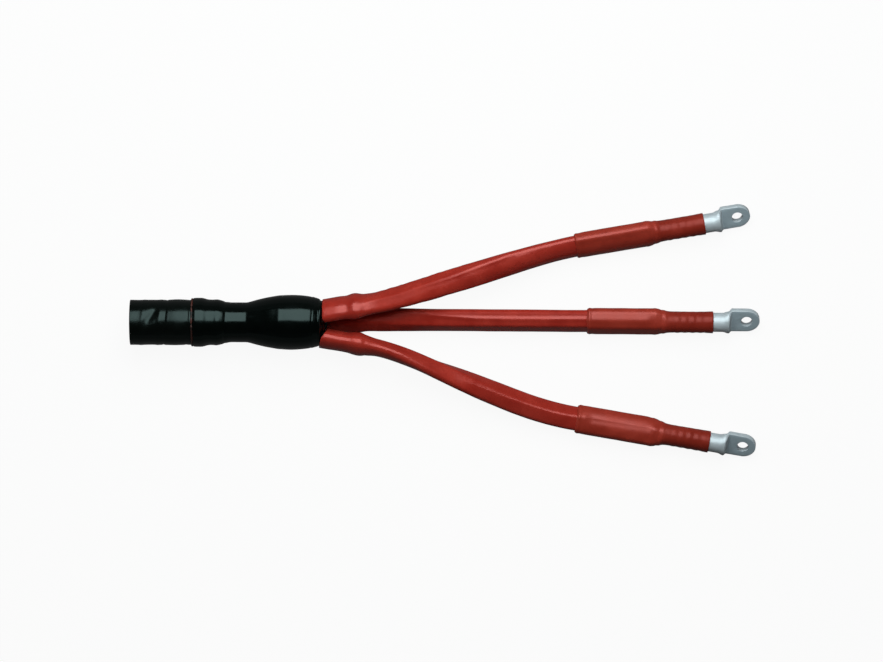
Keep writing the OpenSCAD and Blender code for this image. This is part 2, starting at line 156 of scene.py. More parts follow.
# Metal sheath, bedding and steel tapes
# An extruded aluminium tube, a tarred fibre bedding and two lapped steel tapes lie one on the
# other under the oversheath. Only their sawn rims show.
# Sawn aluminium: a bright rim, dulled in streaks by the blade.
sheath_metal, tree, shader, place = new_material("sawn_aluminium_sheath", Metallic=1.0)
saw = add_node(tree, "ShaderNodeTexNoise", {"Vector": place, "Scale": per_mm(0.9), "Detail": 4.0})
tint = add_node(tree, "ShaderNodeMix", {"Factor": saw.outputs[0], "A": linear("#a4a8ac"),
                                        "B": linear("#c4c8cb")}, data_type="RGBA")
rough = add_node(tree, "ShaderNodeMapRange", {"Value": saw.outputs[0], "To Min": 0.32, "To Max": 0.55})
set_inputs(shader, {"Base Color": tint.outputs["Result"], "Roughness": rough.outputs[0]})
dress("metal_sheath", sheath_metal)

# Tarred fibre: a dark coarse felt with paler threads.
bedding, tree, shader, place = new_material("tarred_fibre_bedding", Roughness=0.85, IOR=1.5)
fibre = add_node(tree, "ShaderNodeTexNoise", {"Vector": place, "Scale": per_mm(0.9), "Detail": 6.0})
tint = add_node(tree, "ShaderNodeMix", {"Factor": fibre.outputs[0], "A": linear("#1e1812"),
                                        "B": linear("#5a4935")}, data_type="RGBA")
bump = add_node(tree, "ShaderNodeBump", {"Strength": 0.8, "Distance": 0.4 * MM,
                                         "Height": fibre.outputs[0]})
set_inputs(shader, {"Base Color": tint.outputs["Result"], "Normal": bump.outputs[0]})
dress("armour_bedding", bedding)

# Galvanised steel: a grey satin rim with the zinc's spangle in it.
tape_steel, tree, shader, place = new_material("galvanised_steel_tape", Metallic=1.0)
spangle = add_node(tree, "ShaderNodeTexVoronoi", {"Vector": place, "Scale": per_mm(2.2)})
tint = add_node(tree, "ShaderNodeMix", {"Factor": spangle.outputs["Distance"], "A": linear("#83878b"),
                                        "B": linear("#a7abaf")}, data_type="RGBA")
rough = add_node(tree, "ShaderNodeMapRange", {"Value": spangle.outputs["Distance"], "To Min": 0.35,
                                              "To Max": 0.55})
set_inputs(shader, {"Base Color": tint.outputs["Result"], "Roughness": rough.outputs[0]})
dress("steel_tape_armour", tape_steel)


# Oversheath
# The cable's black extruded jacket, sawn square at its free end and dressed down a little where
# the boot grips it. The lapped tapes beneath show through as low ridges and a shallow dent.
sheath_low, sheath_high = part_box("cable_oversheath")
tape_low, tape_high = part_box("steel_tape_armour")
bead_low, bead_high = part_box("boot_seal_bead")
CABLE_Y = (sheath_low.y + sheath_high.y) / 2
CABLE_Z = (sheath_low.z + sheath_high.z) / 2
CABLE_R = (sheath_high.y - sheath_low.y) / 2
# Keeps the jacket's bore off the steel tape, and its sawn face off the end of the CAD box
CLEARANCE = 0.05 * MM
SHEATH_WALL = CABLE_R - (tape_high.y - tape_low.y) / 2
CUT_X = sheath_low.x + CLEARANCE
SHEATH_SIDES = 144
SHEATH_CUTS = 90
DRESSING = 0.4 * MM
RIM_BEVEL = 0.35 * MM
SHARP_EDGE = math.radians(60)
SMOOTH_BELOW = math.radians(40)
SHEATH_LUMP = 0.2 * MM
SHEATH_WAVE = 15
# Tape edges under the jacket, from the sawn end: place, height and half width in millimetres
LAPS = ((14.5, 0.25, 2.4), (33.5, 0.3, 2.2), (40.4, -0.5, 1.3), (53.5, 0.45, 9.5), (66.4, -0.4, 1.4))
LAP_LEAN = 2.2 * MM
# One oblique dent on the top of the jacket: its place, and how far it slants along for each
# millimetre across
DENT_ALONG = 24.8 * MM
DENT_ACROSS = 7.5 * MM
DENT_SLANT = 0.55
DENT_DEPTH = 1.7 * MM
DENT_HALF_WIDTH = 5.2 * MM
DENT_HALF_LENGTH = 9 * MM
# Runs over which all relief fades out at the sawn end and at the boot's mouth
SAWN_FADE = 6 * MM
MOUTH_FADE = 2.5 * MM
BLACK_SHEEN = "#e2fffa"


def shaped(t):
    """Eases from 0 to 1 as t does, and stays there."""
    t = min(1.0, max(0.0, t))
    return t * t * (3 - 2 * t)


def hump(distance, width):
    """A soft bell, 1 at no distance and nearly 0 at twice the width."""
    return math.exp(-(distance / width) ** 2)


def take_up(piece):
    """Selects one object alone and makes it active."""
    bpy.ops.object.select_all(action="DESELECT")
    piece.select_set(True)
    bpy.context.view_layer.objects.active = piece


def run_modifier(piece, kind, **settings):
    """Adds a modifier with its settings and applies it."""
    take_up(piece)
    modifier = piece.modifiers.new(kind.lower(), kind)
    for name, value in settings.items():
        setattr(modifier, name, value)
    bpy.ops.object.modifier_apply(modifier=modifier.name)


def press(piece, height):
    """Moves each point of a piece along its normal by height(point, normal), in metres."""
    normals = [vertex.normal.copy() for vertex in piece.data.vertices]
    for vertex, normal in zip(piece.data.vertices, normals):
        vertex.co += normal * height(vertex.co, normal)
    piece.data.update()


def put_on(piece, material, slot, *nodes):
    """Finishes a piece: smooth faces, material, body, and hides the CAD nodes that it stands for. Its slot
    is not used.
    """
    take_up(piece)
    bpy.ops.object.shade_smooth_by_angle(angle=SMOOTH_BELOW)
    piece.data.materials.clear()
    piece.data.materials.append(material)
    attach(piece, "root")
    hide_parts(*nodes)


def select_edges(mesh, wanted):
    """Selects, in edit mode, the edges whose two end points satisfy wanted."""
    bpy.ops.mesh.select_mode(type="EDGE")
    bpy.ops.mesh.select_all(action="DESELECT")
    bpy.ops.object.mode_set(mode="OBJECT")
    for edge in mesh.edges:
        a, b = (mesh.vertices[k].co for k in edge.vertices)
        edge.select = wanted(a, b)
    bpy.ops.object.mode_set(mode="EDIT")


def round_cable(point):
    """Angle of a point round the cable, from the top towards the upper leg, and its radius."""
    across, up = point.y - CABLE_Y, point.z - CABLE_Z
    return math.atan2(across, up), math.hypot(across, up)


def sheath_relief(point, _normal):
    """Height of the jacket's ridges, dent and dressed seat at a point."""
    if point.x > bead_low.x:
        return -DRESSING
    along = point.x - CUT_X
    angle, _ = round_cable(point)
    height = SHEATH_LUMP * noise.noise(point * per_mm(SHEATH_WAVE))
    for at, tall, wide in LAPS:
        height += tall * MM * hump(along - at * MM - LAP_LEAN * math.sin(angle), wide * MM)
    if point.z > CABLE_Z:
        across = point.y - CABLE_Y - DENT_ACROSS
        slanted = along - DENT_ALONG - DENT_SLANT * across
        height -= DENT_DEPTH * hump(slanted, DENT_HALF_WIDTH) * hump(across, DENT_HALF_LENGTH)
    return height * shaped(along / SAWN_FADE) * shaped((bead_low.x - point.x) / MOUTH_FADE)


bpy.ops.mesh.primitive_cylinder_add(
    vertices=SHEATH_SIDES, radius=CABLE_R, depth=sheath_high.x - CUT_X, end_fill_type="NOTHING",
    location=((CUT_X + sheath_high.x) / 2, CABLE_Y, CABLE_Z), rotation=(0, math.pi / 2, 0))
oversheath = bpy.context.object
oversheath.name = "oversheath"
bpy.ops.object.transform_apply(location=True, rotation=True, scale=True)
bpy.ops.object.mode_set(mode="EDIT")
select_edges(oversheath.data, lambda a, b: abs(a.x - b.x) > MM)
bpy.ops.mesh.subdivide(number_cuts=SHEATH_CUTS)
bpy.ops.mesh.select_all(action="SELECT")
bpy.ops.mesh.normals_make_consistent(inside=False)
bpy.ops.object.mode_set(mode="OBJECT")
press(oversheath, sheath_relief)
run_modifier(oversheath, "SOLIDIFY", thickness=SHEATH_WALL - CLEARANCE, offset=-1.0)
run_modifier(oversheath, "BEVEL", width=RIM_BEVEL, segments=2, limit_method="ANGLE",
             angle_limit=SHARP_EDGE)

# Black PVC: satin from the extruder, with a fine matt grain and faint scuffs.
sheath_pvc, tree, shader, place = new_material("black_extruded_pvc", IOR=1.31,
                                               Specular_Tint=linear(BLACK_SHEEN))
scuff = add_node(tree, "ShaderNodeTexNoise", {"Vector": place, "Scale": per_mm(9), "Detail": 5.0})
tint = add_node(tree, "ShaderNodeMix", {"Factor": scuff.outputs[0], "A": linear("#040605"),
                                        "B": linear("#0b0e0c")}, data_type="RGBA")
rough = add_node(tree, "ShaderNodeMapRange", {"Value": scuff.outputs[0], "From Min": 0.3, "From Max": 0.7,
                                              "To Min": 0.18, "To Max": 0.27})
grain = add_node(tree, "ShaderNodeTexNoise", {"Vector": place, "Scale": per_mm(1.6), "Detail": 3.0})
bump = add_node(tree, "ShaderNodeBump", {"Strength": 0.12, "Distance": 0.15 * MM,
                                         "Height": grain.outputs[0]})
set_inputs(shader, {"Base Color": tint.outputs["Result"], "Roughness": rough.outputs[0],
                    "Normal": bump.outputs[0]})
put_on(oversheath, sheath_pvc, "oversheath_pvc", "cable_oversheath")


# Breakout boot
# One moulded glove of black cross-linked polyolefin, shrunk on with hot air. Its skirt grips the
# jacket and the armour, its bulb holds the mastic, and three fingers run on under the red tubes.
# The shrinking leaves soft rings round the skirt and fine wrinkles where the bulb closes.
BOOT_LENGTH = 148 * MM
MOUTH_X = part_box("breakout_boot")[0].x
CROTCH_X = MOUTH_X + BOOT_LENGTH
BULB_END = CROTCH_X - 2.5 * MM
VOXEL = 1.0 * MM
# Steps in which the CAD boot's outline is felt from above, how many on each side smooth it, and
# the half width of that smoothing
FEEL_STEP = 0.25 * MM
FEEL_REACH = 30
FEEL_WIDTH = 2.4 * MM
# Outer points lie within a skin of the outline. They follow it from the lip to the bulb's end
SKIN = 1.2 * MM
LIP_RUN = 0.7 * MM
LIP_FADE = 4 * LIP_RUN
END_RUN = 2 * MM
# The waist's distance back from the crotch, how far it is drawn towards it, and the run that gives
WAIST_BACK = 88 * MM
WAIST_SHIFT = 2.2 * MM
WAIST_RUN = 20 * MM
BOOT_LUMP = 0.16 * MM
BOOT_WAVE = 18
# Rings round the boot: distance back from the crotch, height and half width in millimetres
BOOT_RINGS = ((138, 0.08, 2.5), (120.5, 0.4, 3.0), (111.2, -0.5, 1.3), (108.2, 0.2, 1.6),
              (50, 0.25, 3.0), (12.4, -0.22, 0.9), (10.2, 0.3, 0.9))
# The rings sway to and fro once and twice in a turn, and their height comes and goes
SWAY = 0.9 * MM
SWAY_TURN = 0.6
DOUBLE_SWAY = 0.5 * MM
RING_MEAN = 0.75
RING_PATCHES = 0.5
PATCH_R = 2
# Fine wrinkles, from their start back from the crotch
WRINKLED = 30 * MM
WRINKLE_RISE = 20 * MM
WRINKLE_PITCH = 3.3 * MM
WRINKLE = 0.03 * MM
# How far the bulb's top falls away towards the fingers, where that starts, and the share of the
# section's height over which it fades at the sides
END_FALL = 1.2 * MM
FALL_BACK = 14 * MM
FALL_RUN = 11 * MM
FALL_SIDES = 0.7
# How far the fingers' tops drop between the bulb and the tubes, and where that starts and ends
FINGER_DIP = 1.2 * MM
DIP_RISE = 3.5 * MM
DIP_END = 14 * MM
DIP_FALL = 5 * MM
DIP_FACING = 0.5


def copy_of(node, name):
    """A new object with a merged copy of a CAD node's mesh."""
    mesh = frame["nodes"][node].data.copy()
    mesh.materials.clear()
    piece = bpy.data.objects.new(name, mesh)
    bpy.context.scene.collection.objects.link(piece)
    take_up(piece)
    bpy.ops.object.mode_set(mode="EDIT")
    bpy.ops.mesh.select_all(action="SELECT")
    bpy.ops.mesh.remove_doubles(threshold=0.004 * MM)
    bpy.ops.object.mode_set(mode="OBJECT")
    return piece


def boot_outline():
    """Stations along the boot and its smoothed outer radius, felt from above on the CAD node."""
    stations = np.arange(MOUTH_X + FEEL_STEP, BULB_END, FEEL_STEP)
    radii = []
    for x in stations:
        hit, where, *_ = frame["nodes"]["breakout_boot"].ray_cast((x, CABLE_Y, 1), (0, 0, -1))
        radii.append(where.z - CABLE_Z if hit else radii[-1])
    spread = np.exp(-(np.arange(-FEEL_REACH, FEEL_REACH + 1) * FEEL_STEP / FEEL_WIDTH) ** 2)
    padded = np.pad(radii, FEEL_REACH, mode="reflect", reflect_type="odd")
    smooth = np.convolve(padded, spread / spread.sum(), mode="valid")
    late = WAIST_SHIFT * np.exp(-((stations - CROTCH_X + WAIST_BACK) / WAIST_RUN) ** 2)
    return stations, np.interp(stations - late, stations, smooth)


outline_x, outline_r = boot_outline()


def boot_relief(point):
    """Height of the boot's rings, wrinkles and lumps at a point."""
    back = CROTCH_X - point.x
    angle, _ = round_cable(point)
    sway = SWAY * math.sin(angle + SWAY_TURN) + DOUBLE_SWAY * math.sin(2 * angle)
    height = BOOT_LUMP * noise.noise(point * per_mm(BOOT_WAVE))
    for at, tall, wide in BOOT_RINGS:
        around = Vector((at, PATCH_R * math.cos(angle), PATCH_R * math.sin(angle)))
        patch = RING_MEAN + RING_PATCHES * noise.noise(around)
        height += tall * MM * patch * hump(back - at * MM + sway, wide * MM)
    closing = shaped((WRINKLED - back) / WRINKLE_RISE)
    height += closing * WRINKLE * math.sin(2 * math.pi * (back + 2 * sway) / WRINKLE_PITCH)
    height -= END_FALL * shaped((FALL_BACK - back) / FALL_RUN) * shaped(math.cos(angle) / FALL_SIDES)
    return height * shaped((point.x - MOUTH_X) / LIP_FADE)


boot = copy_of("breakout_boot", "boot")
run_modifier(boot, "REMESH", mode="VOXEL", voxel_size=VOXEL, adaptivity=0.0)
run_modifier(boot, "SMOOTH", factor=0.5, iterations=4)
for vertex in boot.data.vertices:
    point = vertex.co
    _, radius = round_cable(point)
    target = float(np.interp(point.x, outline_x, outline_r))
    if MOUTH_X + LIP_RUN < point.x < BULB_END and radius > target - SKIN:
        blend_in = shaped((point.x - MOUTH_X - LIP_RUN) / LIP_RUN)
        blend_in *= shaped((BULB_END - point.x) / END_RUN)
        wanted = target + boot_relief(point)
        grown = 1 + (wanted / radius - 1) * blend_in
        vertex.co.y = CABLE_Y + (point.y - CABLE_Y) * grown
        vertex.co.z = CABLE_Z + (point.z - CABLE_Z) * grown
boot.data.update()


def finger_dip(point, normal):
    """Depth to which a finger's top drops between the bulb and the tube's rim."""
    past = point.x - BULB_END
    bare = shaped(past / DIP_RISE) * shaped((DIP_END - past) / DIP_FALL)
    return -FINGER_DIP * bare * shaped(normal.z / DIP_FACING)


press(boot, finger_dip)

# Black polyolefin: a clean gloss from the mould, softened here and there by the hot air.
boot_plastic, tree, shader, place = new_material("black_moulded_polyolefin", IOR=1.32,
                                                 Specular_Tint=linear(BLACK_SHEEN))
cloud = add_node(tree, "ShaderNodeTexNoise", {"Vector": place, "Scale": per_mm(14), "Detail": 4.0})
tint = add_node(tree, "ShaderNodeMix", {"Factor": cloud.outputs[0], "A": linear("#020403"),
                                        "B": linear("#050807")}, data_type="RGBA")
rough = add_node(tree, "ShaderNodeMapRange", {"Value": cloud.outputs[0], "From Min": 0.3, "From Max": 0.7,
                                              "To Min": 0.12, "To Max": 0.2})
peel = add_node(tree, "ShaderNodeTexNoise", {"Vector": place, "Scale": per_mm(2.4), "Detail": 2.0})
bump = add_node(tree, "ShaderNodeBump", {"Strength": 0.1, "Distance": 0.15 * MM,
                                         "Height": peel.outputs[0]})
set_inputs(shader, {"Base Color": tint.outputs["Result"], "Roughness": rough.outputs[0],
                    "Normal": bump.outputs[0]})
put_on(boot, boot_plastic, "boot_polyolefin", "breakout_boot")


# Sealant bead
# Hot-melt glue that lines the boot's skirt. The heat squeezes it out round the mouth, where it
# sets as a thin uneven ring.
BEAD_R = (bead_high.y - bead_low.y) / 2
BEAD_WIDE = bead_high.x - bead_low.x
BEAD_SECTION_R = 0.55 * BEAD_WIDE
BEAD_X = MOUTH_X - 0.35 * BEAD_WIDE
# Slow and quick changes of the bead's height round the cable, and how deep it lies between them,
# in millimetres, with the radius that sets how many there are
BEAD_RUNS = 0.5
BEAD_DRIPS = 0.3
BEAD_SUNK = 0.35
RUNS_R = 6
bpy.ops.mesh.primitive_torus_add(
    major_segments=220, minor_segments=20, major_radius=BEAD_R - BEAD_SECTION_R,
    minor_radius=BEAD_SECTION_R, location=(BEAD_X, CABLE_Y, CABLE_Z), rotation=(0, math.pi / 2, 0))
bead = bpy.context.object
bead.name = "seal_bead"
bpy.ops.object.transform_apply(location=True, rotation=True, scale=True)


def bead_relief(point, _normal):
    """Runs and thin places of the squeezed-out glue."""
    angle, _ = round_cable(point)
    ring = Vector((RUNS_R * math.cos(angle), RUNS_R * math.sin(angle), 0))
    return (BEAD_RUNS * noise.noise(ring) + BEAD_DRIPS * noise.noise(ring * 3) - BEAD_SUNK) * MM


press(bead, bead_relief)

# Hot-melt glue: waxy and cloudy, nearly black where it is thin and a dull red brown in its runs.
hotmelt, tree, shader, place = new_material("red_brown_hot_melt", Roughness=0.42, IOR=1.48)
cloud = add_node(tree, "ShaderNodeTexNoise", {"Vector": place, "Scale": per_mm(6), "Detail": 4.0})
spread = add_node(tree, "ShaderNodeMapRange", {"Value": cloud.outputs[0], "From Min": 0.35,
                                               "From Max": 0.65})
tint = add_node(tree, "ShaderNodeMix", {"Factor": spread.outputs[0], "A": linear("#1e100d"),
                                        "B": linear("#5c2d25")}, data_type="RGBA")
set_inputs(shader, {"Base Color": tint.outputs["Result"]})
put_on(bead, hotmelt, "seal_hotmelt", "boot_seal_bead")


# Crotch mastic
# A yellow sealing putty, packed by hand between the cores before the boot goes on. The boot
# shuts it in completely.
# Sealing putty: matt, with the tones kneaded through it.
putty, tree, shader, place = new_material("yellow_sealing_putty", Roughness=0.7, IOR=1.5)
cloud = add_node(tree, "ShaderNodeTexNoise", {"Vector": place, "Scale": per_mm(7), "Detail": 4.0})
tint = add_node(tree, "ShaderNodeMix", {"Factor": cloud.outputs[0], "A": linear("#a8841c"),
                                        "B": linear("#d3ad34")}, data_type="RGBA")
set_inputs(shader, {"Base Color": tint.outputs["Result"]})
dress("crotch_mastic", putty)


# Red tubes
# Long anti-tracking tubes of iron-red polyolefin, shrunk over the boot's fingers and the cores.
# They follow the sector of the core beneath, and swell over the finger's rim.
RIM_CREASE = 0.6
LEVELS = 3
RED_SHEEN = "#ff9b95"
# Lumps and their spacing in millimetres, closer across the tube than along it
TUBE_LUMP = 0.2 * MM
TUBE_WAVE = 26
LUMP_STRETCH = 2
# Bare finger between the bulb and each tube's rim, and the run over which the tube gives way
BARE_FINGER = {"upper": 2.9 * MM, "middle": 2.9 * MM, "lower": 0.6 * MM}
BARE_RUN = 22 * MM
# How far each rim runs on towards the upper leg, for every millimetre across
RIM_SLANT = {"upper": 0.0, "middle": 0.0, "lower": 0.23}
# Swellings over each finger's tip: distance past the crotch, height and half width in millimetres
TIP_RINGS = {"upper": ((27.5, -0.5, 4.0), (37.5, 0.5, 5.0)), "middle": (),
             "lower": ((47.0, 1.9, 11.0), (49.0, -0.35, 2.5))}
# Stretch of the upper tube, past the crotch, that the hot air left puckered across
PUCKERED = (40 * MM, 190 * MM)
PUCKER_RISE = 15 * MM
PUCKER_FALL = 40 * MM
PUCKER = 0.45 * MM
PUCKER_WAVE = 6
PUCKER_STRETCH = 2
# Ridges that a core's edges raise along the top of a tube: height, half width towards the upper leg
# and away from it, then the run as distances past the crotch and places across, in millimetres
RIDGES = {"upper": ((1.2, 3.2, 3.2, ((38, 28), (90, 41.7), (118, 51.7), (147, 60.9), (176, 71.6),
                                     (230, 90.5))),),
          "middle": ((0.8, 2.6, 2.6, ((110, 18), (136, 16.3), (182, 13), (228, 12.3), (350, 12.3))),),
          "lower": ((0.8, 2.6, 2.6, ((70, -18), (90, -25.3), (118, -35), (150, -47))),
                    (1.2, 3.6, 11, ((150, -53), (176, -62.9), (205, -75), (233, -85.4), (262, -94.6),
                                    (283, -99.7), (303, -103))))}
RIDGE_FADE = 30
RIDGE_FACING = 0.4
# Stretches that the hot air left without gloss: distance past the crotch in millimetres and share
# lost, and the side of the middle tube, across, that is rubbed dull all along
DULLED = {"upper": ((0, 0.6), (14, 0.6), (20, 0), (48, 0), (66, 0.85), (130, 0.8), (175, 0)),
          "middle": ((0, 0.9), (100, 0.9), (140, 0)),
          "lower": ((128, 0), (144, 0.7), (172, 0.7), (188, 0))}
RUBBED_Y = 15.5 * MM
RUBBED_EDGE = 3 * MM
RUBBED = 0.85


def to_quads(piece):
    """Joins each pair of triangles across their shared longest edge."""
    take_up(piece)
    mesh = piece.data
    longest = {}
    for face in mesh.polygons:
        keys = [tuple(sorted(key)) for key in face.edge_keys]
        lengths = [(mesh.vertices[a].co - mesh.vertices[b].co).length for a, b in keys]
        top = keys[lengths.index(max(lengths))]
        longest[top] = longest.get(top, 0) + 1
    bpy.ops.object.mode_set(mode="EDIT")
    bpy.ops.mesh.select_mode(type="EDGE")
    bpy.ops.mesh.select_all(action="DESELECT")
    bpy.ops.object.mode_set(mode="OBJECT")
    for edge in mesh.edges:
        edge.select = longest.get(tuple(sorted(edge.vertices)), 0) == 2
    bpy.ops.object.mode_set(mode="EDIT")
    bpy.ops.mesh.dissolve_edges(use_verts=False)
    bpy.ops.object.mode_set(mode="OBJECT")


def crease_rims(piece):
    """Creases the sharp edges at both ends of a tube."""
    take_up(piece)
    bpy.ops.object.mode_set(mode="EDIT")
    bpy.ops.mesh.select_mode(type="EDGE")
    bpy.ops.mesh.select_all(action="DESELECT")
    bpy.ops.mesh.edges_select_sharp(sharpness=SHARP_EDGE)
    bpy.ops.transform.edge_crease(value=RIM_CREASE)
    bpy.ops.object.mode_set(mode="OBJECT")


def ridge_height(point, normal, ridges, fade):
    """Height of some ridges at a point of a tube's top. They rise and fall over the fade at their ends."""
    past = (point.x - CROTCH_X) / MM
    height = 0.0
    for tall, wide, fall, run in ridges:
        stations, sides = zip(*run)
        shown = shaped((past - stations[0]) / fade) * shaped((stations[-1] - past) / fade)
        shown *= shaped(normal.z / RIDGE_FACING)
        across = point.y / MM - np.interp(past, stations, sides)
        height += shown * tall * MM * hump(across, wide if across > 0 else fall)
    return height


def tube_relief(leg):
    """Lumps, tip swellings, puckers and ridges of one leg's tube, as a height for press."""
    def relief(point, normal):
        past = point.x - CROTCH_X
        drawn = Vector((point.x, point.y * LUMP_STRETCH, point.z * LUMP_STRETCH))
        height = TUBE_LUMP * noise.noise(drawn * per_mm(TUBE_WAVE))
        for at, tall, wide in TIP_RINGS[leg]:
            height += tall * MM * hump(past - at * MM, wide * MM)
        if leg == "upper":
            shown = shaped((past - PUCKERED[0]) / PUCKER_RISE) * shaped((PUCKERED[1] - past) / PUCKER_FALL)
            drawn = Vector((point.x, point.y / PUCKER_STRETCH, point.z / PUCKER_STRETCH))
            height += shown * PUCKER * noise.noise(drawn * per_mm(PUCKER_WAVE))
        return height + ridge_height(point, normal, RIDGES[leg], RIDGE_FADE)

    return relief


def dulling(leg, point):
    """Share of its gloss that a leg's tube has lost at a point."""
    lost = float(np.interp((point.x - CROTCH_X) / MM, *zip(*DULLED[leg])))
    if leg == "middle":
        lost = max(lost, RUBBED * shaped((point.y - RUBBED_Y) / RUBBED_EDGE))
    return lost


def mark_points(piece, name, share):
    """Keeps share(point) for each point of a piece, as an attribute that its material reads."""
    marks = piece.data.attributes.new(name, "FLOAT", "POINT")
    for vertex, mark in zip(piece.data.vertices, marks.data):
        mark.value = share(vertex.co)


# Iron-red polyolefin: a satin gloss with a fine orange peel and slow changes of tone, lost where
# the hot air stayed too long.
tube_red, tree, shader, place = new_material("iron_red_polyolefin", IOR=1.5,
                                             Specular_Tint=linear(RED_SHEEN))
dulled = add_node(tree, "ShaderNodeAttribute", attribute_name="dulled")
gloss = add_node(tree, "ShaderNodeMapRange", {"Value": dulled.outputs["Fac"], "To Min": 1.0, "To Max": 0.0})
slow = add_node(tree, "ShaderNodeTexNoise", {"Vector": place, "Scale": per_mm(22), "Detail": 4.0})
spread = add_node(tree, "ShaderNodeMapRange", {"Value": slow.outputs[0], "From Min": 0.32,
                                               "From Max": 0.68})
tint = add_node(tree, "ShaderNodeMix", {"Factor": spread.outputs[0], "A": linear("#a42a20"),
                                        "B": linear("#b6362a")}, data_type="RGBA")
rough = add_node(tree, "ShaderNodeMapRange", {"Value": slow.outputs[0], "From Min": 0.3, "From Max": 0.7,
                                              "To Min": 0.2, "To Max": 0.3})
peel = add_node(tree, "ShaderNodeTexNoise", {"Vector": place, "Scale": per_mm(7), "Detail": 4.0,
                                             "Roughness": 0.55})
bump = add_node(tree, "ShaderNodeBump", {"Strength": 0.6, "Distance": 0.35 * MM,
                                         "Height": peel.outputs[0]})
set_inputs(shader, {"Base Color": tint.outputs["Result"], "Roughness": rough.outputs[0],
                    "Normal": bump.outputs[0], "Specular IOR Level": gloss.outputs[0]})
for leg in LEGS:
    tube = copy_of(leg + "_tube", leg + "_red_tube")
    to_quads(tube)
    crease_rims(tube)
    run_modifier(tube, "SUBSURF", levels=LEVELS, render_levels=LEVELS)
    press(tube, tube_relief(leg))
    rim = [vertex.co.y for vertex in tube.data.vertices if vertex.co.x < CROTCH_X + MM]
    rim_y = (min(rim) + max(rim)) / 2
    for vertex in tube.data.vertices:
        bare = BARE_FINGER[leg] + RIM_SLANT[leg] * (vertex.co.y - rim_y)
        vertex.co.x += bare * shaped(1 - (vertex.co.x - CROTCH_X) / BARE_RUN)
    mark_points(tube, "dulled", lambda point: dulling(leg, point))
    put_on(tube, tube_red, "tube_red", leg + "_tube")


# Lugs
# Tubular aluminium lugs: a length of tube, pressed flat at one end into a palm with a round tip
# and a punched bolt hole, and squeezed on the conductor in two hexagonal crimps.
# Sizes in millimetres, in the lug's own frame: its axis along X and its bolt along Z
BARREL_R = 11.0
BARREL_LENGTH = 68.0
BARREL_BORE_R = 7.2
BORE_DEPTH = 58.0
MOUTH_CHAMFER = 0.4
CRIMPS = ((8.0, 21.0), (28.0, 41.0))
CRIMP_FLAT_R = 10.3
CRIMP_RAMP = 0.8
PALM_HALF = 14.0
PALM_T = 7.6
PALM_LENGTH = 36.0
PALM_BACK = 9.4
PALM_MID = PALM_T / 2 - PALM_BACK
# Power of the palm's section, nearly 0 for a square bar and 1 for an oval
PALM_EDGE = 0.24
TIP_HALF = 0.5
TIP_STEPS = 15
# Run over which the barrel widens ahead of the palm, and the share of the palm's width it reaches
FLARE = 7.0
FLARE_SHARE = 0.8
FLARE_STEPS = (0, 0.25, 0.5, 0.75, 1)
PALM_RAMP = 4.0
RAMP_STEPS = (0.12, 0.3, 0.5, 0.7, 0.88)
HOLE_FROM_TIP = 15.0
HOLE_R = 6.5
HOLE_X = BARREL_LENGTH + PALM_LENGTH - HOLE_FROM_TIP
RING = 72
PUNCH_SIDES = 64
PUNCH_OVERRUN = 1
EDGE_BEVEL = 0.5
BEVELLED_EDGE = math.radians(55)
FLAT_FACING = 0.95


def barrel_ring(at, crimped=False, radius=BARREL_R):
    """Points of one ring round the barrel, flattened to a hexagon where it is crimped."""
    points = []
    for k in range(RING):
        angle = 2 * math.pi * k / RING
        corner = (angle + math.pi / 6) % (math.pi / 3) - math.pi / 6
        reach = min(radius, CRIMP_FLAT_R / math.cos(corner)) if crimped else radius
        points.append(Vector((at, reach * math.cos(angle), reach * math.sin(angle))))
    return points


def palm_ring(at, half):
    """Points of one ring round the palm: a flat bar with softly rounded edges."""
    points = []
    for k in range(RING):
        angle = 2 * math.pi * k / RING
        c, s = math.cos(angle), math.sin(angle)
        y = half * math.copysign(abs(c) ** PALM_EDGE, c)
        z = PALM_MID + PALM_T / 2 * math.copysign(abs(s) ** PALM_EDGE, s)
        points.append(Vector((at, y, z)))
    return points


def blended(a, b, t):
    """Ring that lies a share t of the way from ring a to ring b."""
    return [p.lerp(q, t) for p, q in zip(a, b)]


def lug_rings():
    """Rings of the lug's outside, from the barrel's open end to the tip of its palm."""
    rings = [barrel_ring(0, radius=BARREL_R - MOUTH_CHAMFER), barrel_ring(MOUTH_CHAMFER)]
    for start, end in CRIMPS:
        rings += [barrel_ring(start - CRIMP_RAMP), barrel_ring(start, True)]
        rings += [barrel_ring(end, True), barrel_ring(end + CRIMP_RAMP)]
    for t in FLARE_STEPS:
        shoulder = barrel_ring(BARREL_LENGTH - FLARE * (1 - t))
        for point in shoulder:
            point.y *= 1 + FLARE_SHARE * (PALM_HALF / BARREL_R - 1) * shaped(t)
        rings.append(shoulder)
    root = palm_ring(BARREL_LENGTH + PALM_RAMP, PALM_HALF)
    for t in RAMP_STEPS:
        ring = blended(shoulder, root, shaped(t))
        for point in ring:
            point.x = BARREL_LENGTH + PALM_RAMP * t
        rings.append(ring)
    rings.append(root)
    for step in range(1, TIP_STEPS):
        angle = math.pi / 2 * step / TIP_STEPS
        reach = HOLE_FROM_TIP * math.sin(angle)
        rings.append(palm_ring(HOLE_X + reach, max(PALM_HALF * math.cos(angle), TIP_HALF)))
    return rings


